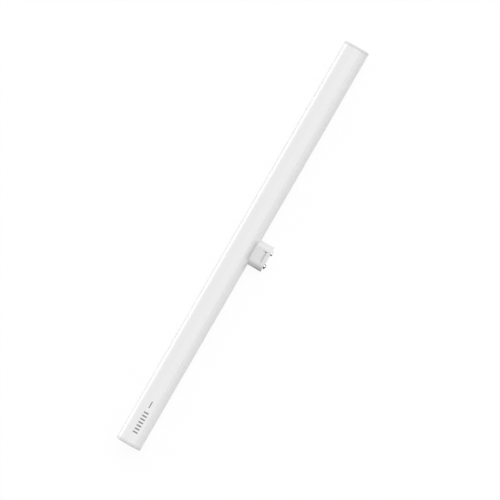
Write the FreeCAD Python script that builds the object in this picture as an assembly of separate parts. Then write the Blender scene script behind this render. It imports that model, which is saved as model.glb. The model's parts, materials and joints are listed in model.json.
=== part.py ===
"""Straight tubular lamp, 500 mm long, that plugs in by one flat-sided peg at the middle of its back.

The tube is an opal diffuser snapped onto a white back shell, closed by two end caps. The peg sits in the
shell from the inside and carries two turned contact pins. Inside are the driver in its carrier and the LED
board on its tray. Sizes are in millimetres. Pieces are drawn in the lamp's own frame, with X along the tube,
-Y out along the peg and Z across it. At the end they are turned and set down as the lamp lies: on the
diffuser and one edge of the peg.
"""

import FreeCAD
import Part
import math
import os

Vector = FreeCAD.Vector

# Tube
TUBE_LENGTH = 500.0
TUBE_DIAMETER = 29.5
DIFFUSER_WALL = 1.2
SHELL_WALL = 1.5
SHELL_DEPTH = 8.35       # from the shell's back to the seam, where the diffuser meets it
SEAM_CHAMFER = 0.15
FOOT_THICKNESS = 1.0     # inward flange along each edge of the diffuser
FOOT_REACH = 1.0
HOOK_THICKNESS = 0.8     # ledge of the shell that holds the foot down
HOOK_REACH = 0.8
LEG_WALL = 0.8
SHELF_THICKNESS = 1.2
RIB_THICKNESS = 0.85     # ribs above and below each edge of the LED tray
RIB_REACH = 1.0

# End caps
CAP_RIM = 3.1
CAP_EDGE_ROUND = 1.1
CAP_SEAM_CHAMFER = 0.25
COLLAR_DEPTH = 8.0
COLLAR_FRONT_MARGIN = 0.7   # above the hooks

# Clearances
SLIDE_CLEARANCE = 0.15
CARRIER_CLEARANCE = 0.2
FACE_CLEARANCE = 0.05
TRAY_END_GAP = 1.0

# Peg
PEG_LENGTH = 30.0        # along the tube, over its round ends
PEG_WIDTH = 14.0
PEG_REACH = 31.0         # from the tube's axis to the peg's end face
PEG_END_WALL = 2.4
PEG_ROOT_WALL = 1.6      # side wall near the tube
PEG_ROOT_TIP_WALL = 1.8  # wall at the round ends near the tube
PEG_NECK_WALL = 3.2      # side wall behind the latch notches
PEG_NECK_TIP_WALL = 2.4
PEG_STEP = 10.5          # from the end face to where the side wall thins
PEG_EDGE_ROUND = 0.6
FLANGE_MARGIN = 3.5      # flange beyond the peg at each round end
FLANGE_THICKNESS = 1.5
NOTCH_INSET = 8.0        # from the peg's round end to the notch
NOTCH_DEPTH = 2.1
NOTCH_START = 4.0        # from the end face to the notch's steep wall
NOTCH_WALL = 1.0         # how far the steep wall leans
NOTCH_RAMP = 5.0
NOTCH_BULGE = 0.4        # of the ramp, outwards from a straight one

# Contact pins and solder tags
PIN_INSET = 7.0          # from the peg's round end to the pin's axis
PIN_DIAMETER = 5.2
PIN_SIDE = 1.5           # straight side of the pin's head
PIN_DOME = 0.8
SHANK_DIAMETER = 2.4
RIVET_DIAMETER = 3.6
RIVET_HEIGHT = 0.6
TAG_DIAMETER = 6.0
TAG_THICKNESS = 0.4
TAG_TAIL_WIDTH = 2.4
TAG_TAIL_HEIGHT = 5.0

# Driver carrier and film
POST_THICKNESS = 2.0     # posts that hold the peg's flange down
POST_WIDTH = 10.4
CARRIER_FLOOR = 1.0
CARRIER_WALL = 0.8
CARRIER_MARGIN = 2.0     # beyond the driver board at each end
LEAD_HOLE = 3.0
RAIL_HEIGHT = 0.3        # rails under the driver board
RAIL_WIDTH = 1.0
RAIL_ACROSS = 4.6
CLIP_LENGTH = 4.0
CLIP_THICKNESS = 0.6
CLIP_REACH = 0.6
FILM_THICKNESS = 0.25

# Driver board
BOARD_THICKNESS = 1.0
BOARD_PLAY = 0.4         # to the carrier's wall at each side
BOARD_MARGIN = 2.0
BOARD_EDGE_GAP = 0.4     # from a component to the board's long edge
BOARD_CORNER_CLEARANCE = 0.15   # over the peg's flange
HEADROOM = 0.1           # above the tallest component
CENTRE_MARGIN = 4.0      # from a pin's axis to the nearest large component
PART_GAP = 1.5

# Components of the driver
CAN_DIAMETER = 6.3
CAN_LENGTH = 11.0
CAN_GROOVE = 0.25
CAN_LEAD_PITCH = 2.5
COMPONENT_LEAD = 0.6     # diameter of a component's bare lead
LEAD_STEP = 1.4          # how far a lead stands out before it turns down
FUSE_DIAMETER = 3.0
FUSE_LENGTH = 8.0
VARISTOR_DIAMETER = 7.0
VARISTOR_THICKNESS = 3.2
FILM_CAP_LENGTH = 13.0
FILM_CAP_WIDTH = 11.0
FILM_CAP_HEIGHT = 5.0
FILM_CAP_CHAMFER = 0.6
BRIDGE_LENGTH = 4.7
BRIDGE_WIDTH = 3.9
BRIDGE_HEIGHT = 2.5
CHOKE_DIAMETER = 5.8
CHOKE_LENGTH = 7.0
CHOKE_FLANGE = 0.9
CHOKE_WINDING_DIAMETER = 5.0
CHIP_LENGTH = 4.9
CHIP_WIDTH = 3.9
CHIP_HEIGHT = 1.6
PACKAGE_LIFT = 0.15      # a moulded package's underside above the board
PACKAGE_LEG = 1.1        # how far its legs reach out
LEG_METAL = 0.25
DIODE_LENGTH = 4.3
DIODE_WIDTH = 2.6
DIODE_HEIGHT = 2.2
CORE_LENGTH = 10.2
CORE_WIDTH = 10.4
CORE_HEIGHT = 4.0
CORE_YOKE = 1.7
CORE_CENTRE_LEG = 2.6
CORE_SIDE_LEG = 1.3
WINDING_HEIGHT = 6.1
WINDING_PLAY = 0.15
CHIP_PART_LENGTH = 3.2
CHIP_PART_WIDTH = 1.6
CHIP_PART_HEIGHT = 0.6

# LED tray, board and packages
TRAY_THICKNESS = 1.0
TRAY_EDGE_PLAY = 0.1
TAPE_THICKNESS = 0.2
TAPE_EDGE_GAP = 1.0      # from the LED board's long edge
LED_BOARD_THICKNESS = 1.0
LED_BOARD_EDGE_GAP = 0.4   # to the ribs
LED_BOARD_SETBACK = 1.5  # from the tray's end
LED_PITCH = 7.8
LED_LENGTH = 3.5
LED_WIDTH = 2.8
LED_HEIGHT = 0.7
LED_LENS_DEPTH = 0.15
LED_LENS_DIAMETER = 2.2
SCREW_COUNT = 6
SCREW_DIAMETER = 1.9
SCREW_HOLE = 2.1
SCREW_HEAD_DIAMETER = 3.4
SCREW_HEAD_HEIGHT = 1.2
SCREW_EDGE_GAP = 3.0     # from the screw's axis to the LED board's long edge
SCREW_END_MARGIN = 12.0

# Insulated leads
LEAD_DIAMETER = 1.2
LEAD_CORE = 0.6
BEND_SHARE = 0.45        # how much of the shorter run beside a bend its arc takes up
MAINS_LEAD_INSET = 1.0   # from the pin's axis inwards to where a mains lead enters the driver board
LED_LEAD_EDGE_GAP = 3.0  # from the middle of the pair to the LED board's long edge
LED_LEAD_SPACING = 1.4
LED_LEAD_LANDING = 5.0   # length of board kept for the ends of the LED leads
LED_LEAD_RUN = 6.0       # usual straight run of their route, along the tube
SLOT_MARGIN = 0.5

# Radii and levels that follow from those sizes; a level is a distance along Y, and the peg is at minus Y
TUBE_RADIUS = TUBE_DIAMETER / 2
DIFFUSER_INNER = TUBE_RADIUS - DIFFUSER_WALL
SHELL_INNER = TUBE_RADIUS - SHELL_WALL
FLANGE_OUTER = SHELL_INNER - FACE_CLEARANCE
FLANGE_INNER = FLANGE_OUTER - FLANGE_THICKNESS
PROFILE_END = TUBE_LENGTH / 2 - CAP_RIM
SEAM = SHELL_DEPTH - TUBE_RADIUS

SEAM_INNER_HALF = math.sqrt(DIFFUSER_INNER ** 2 - SEAM ** 2)
LEG_OUTER = SEAM_INNER_HALF - FOOT_REACH - SLIDE_CLEARANCE
LEG_INNER = LEG_OUTER - LEG_WALL
SHELF_BOTTOM = min(SEAM - SHELF_THICKNESS, -math.sqrt(SHELL_INNER ** 2 - LEG_OUTER ** 2))
CARRIER_HALF = LEG_INNER - CARRIER_CLEARANCE
CARRIER_INNER_HALF = CARRIER_HALF - CARRIER_WALL
BOARD_HALF = CARRIER_INNER_HALF - BOARD_PLAY
FLANGE_HALF = CARRIER_HALF - CARRIER_CLEARANCE
FLANGE_SPAN = PEG_LENGTH / 2 + FLANGE_MARGIN
LED_BOARD_HALF = LEG_INNER - RIB_REACH - LED_BOARD_EDGE_GAP
TAPE_HALF = LED_BOARD_HALF - TAPE_EDGE_GAP
SCREW_ACROSS = SCREW_EDGE_GAP - LED_BOARD_HALF
LED_LEAD_ACROSS = LED_BOARD_HALF - LED_LEAD_EDGE_GAP

BOARD_BOTTOM = BOARD_CORNER_CLEARANCE - math.sqrt(FLANGE_INNER ** 2 - BOARD_HALF ** 2)
BOARD_TOP = BOARD_BOTTOM + BOARD_THICKNESS
FLOOR_TOP = BOARD_BOTTOM - RAIL_HEIGHT
FLOOR_BOTTOM = FLOOR_TOP - CARRIER_FLOOR
COMPONENT_HEIGHTS = (CAN_DIAMETER, WINDING_HEIGHT, CHOKE_DIAMETER, FILM_CAP_HEIGHT, VARISTOR_THICKNESS)
FILM_BOTTOM = BOARD_TOP + max(COMPONENT_HEIGHTS) + HEADROOM
FILM_TOP = FILM_BOTTOM + FILM_THICKNESS
LOWER_RIB = FILM_TOP + FACE_CLEARANCE
TRAY_BOTTOM = LOWER_RIB + RIB_THICKNESS + FACE_CLEARANCE
TRAY_TOP = TRAY_BOTTOM + TRAY_THICKNESS
UPPER_RIB = TRAY_TOP + FACE_CLEARANCE
LEG_TOP = UPPER_RIB + RIB_THICKNESS
FOOT_TOP = SEAM + FOOT_THICKNESS
HOOK_BOTTOM = FOOT_TOP + FACE_CLEARANCE
HOOK_TOP = HOOK_BOTTOM + HOOK_THICKNESS

COLLAR_FRONT = HOOK_TOP + COLLAR_FRONT_MARGIN
COLLAR_OUTER = min(DIFFUSER_INNER, SHELL_INNER) - SLIDE_CLEARANCE
COLLAR_INNER = math.hypot(LEG_OUTER + SLIDE_CLEARANCE, max(-COLLAR_FRONT, LEG_TOP))

TAPE_TOP = TRAY_TOP + TAPE_THICKNESS
LED_BOARD_TOP = TAPE_TOP + LED_BOARD_THICKNESS
TRAY_END = PROFILE_END - COLLAR_DEPTH - TRAY_END_GAP
LED_BOARD_END = TRAY_END - LED_BOARD_SETBACK
LED_LEAD_LIE = BOARD_TOP + LEAD_DIAMETER / 2
LED_LEAD_REST = LED_BOARD_TOP + LEAD_DIAMETER / 2

PEG_END = -PEG_REACH
PEG_FLOOR = PEG_END + PEG_END_WALL
TAG_TOP = PEG_FLOOR + TAG_THICKNESS
TAIL_TOP = PEG_FLOOR + TAG_TAIL_HEIGHT
RIVET_TOP = TAG_TOP + RIVET_HEIGHT
NOTCH_HALF = PEG_LENGTH / 2 - NOTCH_INSET
PIN_X = PEG_LENGTH / 2 - PIN_INSET
MAINS_LEAD_X = PIN_X - MAINS_LEAD_INSET
TAIL_FACE_X = PIN_X + TAG_DIAMETER / 2 - TAG_THICKNESS
DOME_RADIUS = (PIN_DIAMETER ** 2 / 4 + PIN_DOME ** 2) / (2 * PIN_DOME)
DOME_CENTRE = PEG_REACH + PIN_SIDE + PIN_DOME - DOME_RADIUS

# Stations of the components along the driver board, worked outwards from the middle
CENTRE_ZONE = PIN_X + CENTRE_MARGIN
FUSE_SPAN = FUSE_LENGTH + 2 * LEAD_STEP
CAN_SPAN = CAN_LENGTH + LEAD_STEP
CHOKE_SPAN = CHOKE_LENGTH + 2 * LEAD_STEP
DIODE_SPAN = DIODE_LENGTH + 2 * PACKAGE_LEG


def stations(spans):
    """Middles of components laid in a row outwards from the centre zone, and the row's far end."""
    middles = []
    edge = CENTRE_ZONE
    for span in spans:
        middles.append(edge + span / 2)
        edge += span + PART_GAP
    return middles, edge - PART_GAP


INPUT_SPANS = (max(FUSE_SPAN, VARISTOR_DIAMETER), FILM_CAP_LENGTH, BRIDGE_LENGTH, CHOKE_SPAN, CAN_SPAN)
OUTPUT_SPANS = (CHIP_LENGTH, CORE_LENGTH, DIODE_SPAN, CAN_SPAN, LED_LEAD_LANDING)
INPUT_MIDDLES, INPUT_END = stations(INPUT_SPANS)
OUTPUT_MIDDLES, OUTPUT_END = stations(OUTPUT_SPANS)
BOARD_END = max(INPUT_END, OUTPUT_END) + BOARD_MARGIN
CARRIER_END = BOARD_END + CARRIER_MARGIN


# Basic solids

def block(x0, x1, y0, y1, z0, z1):
    return Part.makeBox(x1 - x0, y1 - y0, z1 - z0, Vector(x0, y0, z0))


def rod(radius, x0, x1, y=0.0, z=0.0):
    """Cylinder along the tube."""
    return Part.makeCylinder(radius, x1 - x0, Vector(x0, y, z), Vector(1, 0, 0))


def post(radius, y0, y1, x=0.0, z=0.0):
    """Cylinder along the peg."""
    return Part.makeCylinder(radius, y1 - y0, Vector(x, y0, z), Vector(0, 1, 0))


def stadium(length, width, y0, y1):
    """Prism along the peg, with flat sides and round ends."""
    half = (length - width) / 2
    body = block(-half, half, y0, y1, -width / 2, width / 2)
    for x in (-half, half):
        body = body.fuse(post(width / 2, y0, y1, x))
    return body.removeSplitter()


def joined(pieces):
    whole = pieces[0].fuse(pieces[1:]) if len(pieces) > 1 else pieces[0]
    return whole.removeSplitter()


def mirrored(shape):
    """The same shape on the other side of the peg's middle plane."""
    return shape.mirror(Vector(0, 0, 0), Vector(0, 0, 1))


def edges_where(shape, test):
    return [edge for edge in shape.Edges if test(edge.CenterOfMass, edge)]


# Tube

def seam_groove(x0, x1):
    """Small V along the seam at +Z, shared by the edges of diffuser and shell."""
    z = math.sqrt(TUBE_RADIUS ** 2 - SEAM ** 2)
    size = SEAM_CHAMFER * math.sqrt(2)
    bar = block(x0, x1, -size / 2, size / 2, -size / 2, size / 2)
    bar.rotate(Vector(0, 0, 0), Vector(1, 0, 0), 45 + math.degrees(math.asin(SEAM / TUBE_RADIUS)))
    bar.translate(Vector(0, SEAM, z))
    return bar


def diffuser():
    """Opal shell from seam to seam round the front, with an inward foot along each edge."""
    ends = (-PROFILE_END, PROFILE_END)
    tube = rod(TUBE_RADIUS, *ends)
    room = rod(DIFFUSER_INNER, *ends)
    front = block(*ends, SEAM, TUBE_RADIUS, -TUBE_RADIUS, TUBE_RADIUS)
    wall = tube.cut(room).common(front)
    foot = block(*ends, SEAM, FOOT_TOP, LEG_OUTER + CARRIER_CLEARANCE, TUBE_RADIUS).common(tube)
    body = joined([wall, foot, mirrored(foot)])
    groove = seam_groove(*ends)
    return body.cut([groove, mirrored(groove)])


def shell_half_details(x0, x1):
    """Leg, shelf, hook and tray ribs of the shell on the +Z side."""
    round_room = rod(TUBE_RADIUS - SHELL_WALL / 2, x0, x1)
    leg = block(x0, x1, -TUBE_RADIUS, LEG_TOP, LEG_INNER, LEG_OUTER).common(round_room)
    shelf = block(x0, x1, SHELF_BOTTOM, SEAM, LEG_INNER, TUBE_RADIUS).common(round_room)
    hook = block(x0, x1, HOOK_BOTTOM, HOOK_TOP, LEG_INNER, LEG_OUTER + HOOK_REACH)
    ribs = [block(x0, x1, level, level + RIB_THICKNESS, LEG_INNER - RIB_REACH, LEG_OUTER)
            for level in (LOWER_RIB, UPPER_RIB)]
    return [leg, shelf, hook] + ribs


def back_shell():
    """White shell behind the seam, with legs that hold the LED tray and an opening for the peg."""
    ends = (-PROFILE_END, PROFILE_END)
    tube = rod(TUBE_RADIUS, *ends)
    room = rod(SHELL_INNER, *ends)
    back = block(*ends, -TUBE_RADIUS, SEAM, -TUBE_RADIUS, TUBE_RADIUS)
    wall = tube.cut(room).common(back)
    details = shell_half_details(*ends)
    body = joined([wall] + details + [mirrored(piece) for piece in details])
    peg_top = -math.sqrt(FLANGE_INNER ** 2 - PEG_WIDTH ** 2 / 4)
    play = 2 * SLIDE_CLEARANCE
    opening = stadium(PEG_LENGTH + play, PEG_WIDTH + play, -TUBE_RADIUS, peg_top)
    groove = seam_groove(*ends)
    return body.cut([opening, groove, mirrored(groove)])


def end_cap(side):
    """Flat cap with a rounded rim, and a split collar that slides into the tube."""
    disc = rod(TUBE_RADIUS, PROFILE_END, PROFILE_END + CAP_RIM)
    outer = edges_where(disc, lambda at, edge: abs(at.x - PROFILE_END - CAP_RIM) < 1e-6)
    disc = disc.makeFillet(CAP_EDGE_ROUND, outer)
    inner = edges_where(disc, lambda at, edge: abs(at.x - PROFILE_END) < 1e-6 and edge.Closed)
    disc = disc.makeChamfer(CAP_SEAM_CHAMFER, inner)
    start = PROFILE_END - COLLAR_DEPTH
    ring = rod(COLLAR_OUTER, start, PROFILE_END).cut(rod(COLLAR_INNER, start, PROFILE_END))
    front = ring.common(block(start, PROFILE_END, COLLAR_FRONT, TUBE_RADIUS, -TUBE_RADIUS, TUBE_RADIUS))
    back_half = LEG_INNER - CARRIER_CLEARANCE
    back = ring.common(block(start, PROFILE_END, -TUBE_RADIUS, SEAM, -back_half, back_half))
    cap = joined([disc, front, back])
    if side < 0:
        cap = cap.mirror(Vector(0, 0, 0), Vector(1, 0, 0))
    return cap


# Peg

def latch_notch():
    """Recess in the peg's +Z side: a long bulging ramp and a steep wall towards the end face."""
    surface = PEG_WIDTH / 2
    wall_top = PEG_END + NOTCH_START
    deepest = wall_top + NOTCH_WALL
    ramp_end = deepest + NOTCH_RAMP
    top = Vector(-NOTCH_HALF, wall_top, surface)
    root = Vector(-NOTCH_HALF, deepest, surface - NOTCH_DEPTH)
    end = Vector(-NOTCH_HALF, ramp_end, surface)
    outwards = Vector(0, -NOTCH_DEPTH, NOTCH_RAMP).normalize()
    ramp = Part.Arc(root, (root + end) * 0.5 + outwards * NOTCH_BULGE, end).toShape()
    outline = Part.Wire([Part.makeLine(top, root), ramp, Part.makeLine(end, top)])
    cutter = Part.Face(outline).extrude(Vector(2 * NOTCH_HALF, 0, 0))
    lid = block(-NOTCH_HALF, NOTCH_HALF, wall_top, ramp_end, surface, surface + NOTCH_DEPTH)
    return joined([cutter, lid])


def peg_body():
    """Hollow peg with a curved flange inside the shell, latch notches and holes for the contact pins."""
    column = stadium(PEG_LENGTH, PEG_WIDTH, PEG_END, 0)
    rim = edges_where(column, lambda at, edge: abs(at.y - PEG_END) < 1e-6)
    column = column.makeFillet(PEG_EDGE_ROUND, rim)
    ends = (-FLANGE_SPAN, FLANGE_SPAN)
    flange = block(*ends, PEG_END, 0, -FLANGE_HALF, FLANGE_HALF).common(rod(FLANGE_OUTER, *ends))
    body = joined([column, flange])
    neck = stadium(PEG_LENGTH - 2 * PEG_NECK_TIP_WALL, PEG_WIDTH - 2 * PEG_NECK_WALL, PEG_FLOOR, 0)
    root = stadium(PEG_LENGTH - 2 * PEG_ROOT_TIP_WALL, PEG_WIDTH - 2 * PEG_ROOT_WALL, PEG_END + PEG_STEP, 0)
    tube_room = rod(FLANGE_INNER, *ends)
    notch = latch_notch()
    hole = SHANK_DIAMETER / 2 + FACE_CLEARANCE
    holes = [post(hole, PEG_END, PEG_FLOOR, x) for x in (-PIN_X, PIN_X)]
    return body.cut([neck, root, tube_room, notch, mirrored(notch)] + holes)


def contact_pin(side):
    """Turned pin: domed head outside, shank through the end wall, riveted over the solder tag."""
    head = PIN_DIAMETER / 2
    shank = SHANK_DIAMETER / 2
    rivet = RIVET_DIAMETER / 2
    shoulder = PEG_END - PIN_SIDE
    tip = shoulder - PIN_DOME
    half_angle = math.asin(head / DOME_RADIUS) / 2
    middle = Vector(DOME_RADIUS * math.sin(half_angle), -DOME_CENTRE - DOME_RADIUS * math.cos(half_angle), 0)
    dome = Part.Arc(Vector(0, tip, 0), middle, Vector(head, shoulder, 0)).toShape()
    corners = [(head, shoulder), (head, PEG_END), (shank, PEG_END), (shank, TAG_TOP), (rivet, TAG_TOP),
               (rivet, RIVET_TOP), (0, RIVET_TOP), (0, tip)]
    sides = [Part.makeLine(Vector(*a, 0), Vector(*b, 0)) for a, b in zip(corners, corners[1:])]
    pin = Part.Face(Part.Wire([dome] + sides)).revolve(Vector(0, 0, 0), Vector(0, 1, 0), 360)
    pin.translate(Vector(side * PIN_X, 0, 0))
    return pin


def solder_tag(side):
    """Ring under the rivet, with a tail bent up for the lead."""
    ring = post(TAG_DIAMETER / 2, PEG_FLOOR, TAG_TOP)
    outer = TAG_DIAMETER / 2
    arm = block(0, outer, PEG_FLOOR, TAG_TOP, -TAG_TAIL_WIDTH / 2, TAG_TAIL_WIDTH / 2)
    tail = block(outer - TAG_THICKNESS, outer, PEG_FLOOR, PEG_FLOOR + TAG_TAIL_HEIGHT,
                 -TAG_TAIL_WIDTH / 2, TAG_TAIL_WIDTH / 2)
    tag = joined([ring, arm, tail]).cut(post(SHANK_DIAMETER / 2 + FACE_CLEARANCE, PEG_FLOOR, TAG_TOP))
    if side < 0:
        tag = tag.mirror(Vector(0, 0, 0), Vector(1, 0, 0))
    tag.translate(Vector(side * PIN_X, 0, 0))
    return tag


# Driver carrier, board and film

def flange_relief():
    """Room at +Z for the side of the peg's flange, where the carrier's floor and wall stop short."""
    reach = FLANGE_INNER - FACE_CLEARANCE
    half = FLANGE_SPAN + SLIDE_CLEARANCE
    inner = math.sqrt(reach ** 2 - FLOOR_BOTTOM ** 2)
    top = -math.sqrt(reach ** 2 - FLANGE_HALF ** 2)
    return block(-half, half, -TUBE_RADIUS, top, inner, CARRIER_HALF)


def driver_carrier():
    """Insulating channel that holds the driver board and presses the peg's flange down."""
    ends = (-CARRIER_END, CARRIER_END)
    outside = block(*ends, FLOOR_BOTTOM, FILM_BOTTOM, -CARRIER_HALF, CARRIER_HALF)
    inside = block(*ends, FLOOR_TOP, FILM_BOTTOM, -CARRIER_INNER_HALF, CARRIER_INNER_HALF)
    channel = outside.common(rod(SHELL_INNER - CARRIER_CLEARANCE, *ends)).cut(inside)
    post_room = rod(FLANGE_INNER - FACE_CLEARANCE, *ends)
    pieces = [channel]
    for side in (-1, 1):
        middle = side * (FLANGE_SPAN - FLANGE_MARGIN / 2)
        stud = block(middle - POST_THICKNESS / 2, middle + POST_THICKNESS / 2, -FLANGE_INNER, FLOOR_TOP,
                     -POST_WIDTH / 2, POST_WIDTH / 2)
        pieces.append(stud.common(post_room))
        rail = side * RAIL_ACROSS
        pieces.append(block(-BOARD_END, BOARD_END, FLOOR_BOTTOM + CARRIER_FLOOR / 2, BOARD_BOTTOM,
                            rail - RAIL_WIDTH / 2, rail + RAIL_WIDTH / 2))
        for x in (-BOARD_END / 2, BOARD_END / 2):
            level = BOARD_TOP + FACE_CLEARANCE
            clip = block(x - CLIP_LENGTH / 2, x + CLIP_LENGTH / 2, level, level + CLIP_THICKNESS,
                         CARRIER_INNER_HALF - CLIP_REACH, CARRIER_HALF)
            pieces.append(clip if side > 0 else mirrored(clip))
    holes = [post(LEAD_HOLE / 2, -FLANGE_INNER, BOARD_BOTTOM, x) for x in (-MAINS_LEAD_X, MAINS_LEAD_X)]
    relief = flange_relief()
    return joined(pieces).cut(holes + [relief, mirrored(relief)])


def insulating_film():
    """Thin sheet over the driver, lying on the carrier's walls under the tray's ribs."""
    return block(-CARRIER_END, CARRIER_END, FILM_BOTTOM, FILM_TOP, -CARRIER_HALF, CARRIER_HALF)


def driver_board():
    board = block(-BOARD_END, BOARD_END, BOARD_BOTTOM, BOARD_TOP, -BOARD_HALF, BOARD_HALF)
    hole = LEAD_CORE / 2 + FACE_CLEARANCE
    return board.cut([post(hole, BOARD_BOTTOM, BOARD_TOP, x) for x in (-MAINS_LEAD_X, MAINS_LEAD_X)])


def bent_lead(x_from, x_to, level, across):
    """Bare lead that stands out along X from a component and turns down to the board."""
    radius = COMPONENT_LEAD / 2
    out = rod(radius, min(x_from, x_to), max(x_from, x_to), level, across)
    down = post(radius, BOARD_TOP, level, x_to, across)
    knee = Part.makeSphere(radius, Vector(x_to, level, across))
    return joined([out, knee, down])


def lying_can(middle, side):
    """Electrolytic can lying along X, its two leads turned down on the side towards the board's middle."""
    radius = CAN_DIAMETER / 2
    level = BOARD_TOP + radius
    base = middle - side * CAN_SPAN / 2 + side * LEAD_STEP
    far = base + side * CAN_LENGTH
    can = rod(radius, min(base, far), max(base, far), level)
    rims = edges_where(can, lambda at, edge: edge.Closed and abs(edge.Length - 2 * math.pi * radius) < 1e-3)
    can = can.makeFillet(CAN_GROOVE * 2, rims)
    groove_x = base + side * CAN_LENGTH / 5
    ring = Part.makeTorus(radius, CAN_GROOVE, Vector(groove_x, level, 0), Vector(1, 0, 0))
    foot_x = base - side * (LEAD_STEP - COMPONENT_LEAD / 2)
    leads = [bent_lead(base + side * COMPONENT_LEAD, foot_x, level, z)
             for z in (-CAN_LEAD_PITCH / 2, CAN_LEAD_PITCH / 2)]
    return joined([can.cut(ring)] + leads)


def fuse_resistor(middle):
    """Resistor body along one long edge of the board, with a lead turned down at each end."""
    radius = FUSE_DIAMETER / 2
    level = BOARD_TOP + radius
    across = BOARD_EDGE_GAP + radius - BOARD_HALF
    body = rod(radius, middle - FUSE_LENGTH / 2, middle + FUSE_LENGTH / 2, level, across)
    rims = edges_where(body, lambda at, edge: edge.Closed and abs(at.x - middle) > FUSE_LENGTH / 3)
    body = body.makeFillet(radius / 2, rims)
    reach = FUSE_SPAN / 2 - COMPONENT_LEAD / 2
    leads = [bent_lead(middle + side * FUSE_LENGTH / 3, middle + side * reach, level, across)
             for side in (-1, 1)]
    return joined([body] + leads)


def varistor(middle):
    """Coated disc lying flat on the board, along the edge that the fuse resistor leaves free."""
    radius = VARISTOR_DIAMETER / 2
    across = BOARD_HALF - BOARD_EDGE_GAP - radius
    disc = post(radius, BOARD_TOP, BOARD_TOP + VARISTOR_THICKNESS, middle, across)
    rims = edges_where(disc, lambda at, edge: edge.Closed)
    return disc.makeFillet(VARISTOR_THICKNESS / 4, rims)


def film_capacitor(middle):
    length = FILM_CAP_LENGTH / 2
    width = FILM_CAP_WIDTH / 2
    lid = BOARD_TOP + FILM_CAP_HEIGHT
    box = block(middle - length, middle + length, BOARD_TOP, lid, -width, width)
    top = edges_where(box, lambda at, edge: abs(at.y - lid) < 1e-6)
    return box.makeChamfer(FILM_CAP_CHAMFER, top)


def gull_leg(x, across, out, width):
    """Flat leg of a moulded package that reaches out across the board and down to it."""
    reach = across + out * PACKAGE_LEG
    inner = across - out * PACKAGE_LEG / 2
    z0 = min(inner, reach)
    z1 = max(inner, reach)
    level = BOARD_TOP + PACKAGE_LIFT + 2 * LEG_METAL
    top = block(x - width / 2, x + width / 2, level, level + LEG_METAL, z0, z1)
    foot_inner = reach - out * PACKAGE_LEG / 2
    foot = block(x - width / 2, x + width / 2, BOARD_TOP, level + LEG_METAL, min(foot_inner, reach),
                 max(foot_inner, reach))
    return joined([top, foot])


def moulded_package(middle, length, width, height, legs_per_side):
    """Small moulded package with legs down both long sides."""
    base = BOARD_TOP + PACKAGE_LIFT
    body = block(middle - length / 2, middle + length / 2, base, base + height, -width / 2, width / 2)
    rim = edges_where(body, lambda at, edge: abs(at.y - base - height) < 1e-6)
    pieces = [body.makeChamfer(min(height, width) / 10, rim)]
    pitch = length / legs_per_side
    for index in range(legs_per_side):
        x = middle + (index - (legs_per_side - 1) / 2) * pitch
        for out in (-1, 1):
            pieces.append(gull_leg(x, out * width / 2, out, pitch / 3))
    return joined(pieces)


def bridge_rectifier(middle):
    return moulded_package(middle, BRIDGE_LENGTH, BRIDGE_WIDTH, BRIDGE_HEIGHT, 2)


def control_chip(middle):
    return moulded_package(middle, CHIP_LENGTH, CHIP_WIDTH, CHIP_HEIGHT, 4)


def output_diode(middle):
    """Moulded diode with one folded tab at each end."""
    base = BOARD_TOP + PACKAGE_LIFT
    body = block(middle - DIODE_LENGTH / 2, middle + DIODE_LENGTH / 2, base, base + DIODE_HEIGHT,
                 -DIODE_WIDTH / 2, DIODE_WIDTH / 2)
    pieces = [body]
    for side in (-1, 1):
        inner = middle + side * (DIODE_LENGTH / 2 - PACKAGE_LEG)
        outer = middle + side * (DIODE_LENGTH / 2 + PACKAGE_LEG)
        half = DIODE_WIDTH / 4
        pieces.append(block(min(inner, outer), max(inner, outer), BOARD_TOP, base + LEG_METAL, -half, half))
    return joined(pieces)


def filter_choke(middle):
    """Drum core lying along X with its winding, and two leads turned down."""
    level = BOARD_TOP + CHOKE_DIAMETER / 2
    x0 = middle - CHOKE_LENGTH / 2
    x1 = middle + CHOKE_LENGTH / 2
    drum = [rod(CHOKE_DIAMETER / 2, x0, x0 + CHOKE_FLANGE, level),
            rod(CHOKE_DIAMETER / 2, x1 - CHOKE_FLANGE, x1, level),
            rod(CHOKE_WINDING_DIAMETER / 2, x0, x1, level)]
    reach = CHOKE_SPAN / 2 - COMPONENT_LEAD / 2
    leads = [bent_lead(middle + side * CHOKE_LENGTH / 3, middle + side * reach, level, 0.0)
             for side in (-1, 1)]
    return joined(drum + leads)


def transformer_core(middle):
    """Pair of E cores lying flat, with one window on each side of the centre leg."""
    base = BOARD_TOP + (WINDING_HEIGHT - CORE_HEIGHT) / 2
    x0 = middle - CORE_LENGTH / 2
    x1 = middle + CORE_LENGTH / 2
    core = block(x0, x1, base, base + CORE_HEIGHT, -CORE_WIDTH / 2, CORE_WIDTH / 2)
    window = block(x0 + CORE_YOKE, x1 - CORE_YOKE, base, base + CORE_HEIGHT, CORE_CENTRE_LEG / 2,
                   CORE_WIDTH / 2 - CORE_SIDE_LEG)
    return core.cut([window, mirrored(window)])


def transformer_winding(middle):
    """Wound bobbin round the core's centre leg, standing on the board."""
    half = CORE_LENGTH / 2 - CORE_YOKE - WINDING_PLAY
    across = CORE_WIDTH / 2 - CORE_SIDE_LEG - WINDING_PLAY
    outer = block(middle - half, middle + half, BOARD_TOP, BOARD_TOP + WINDING_HEIGHT, -across, across)
    base = BOARD_TOP + (WINDING_HEIGHT - CORE_HEIGHT) / 2
    leg = CORE_CENTRE_LEG / 2
    inner = block(middle - half, middle + half, base, base + CORE_HEIGHT, -leg, leg)
    corners = edges_where(outer, lambda at, edge: abs(at.x - middle) < 1e-6)
    return outer.makeFillet(CORE_YOKE / 2, corners).cut(inner)


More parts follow.
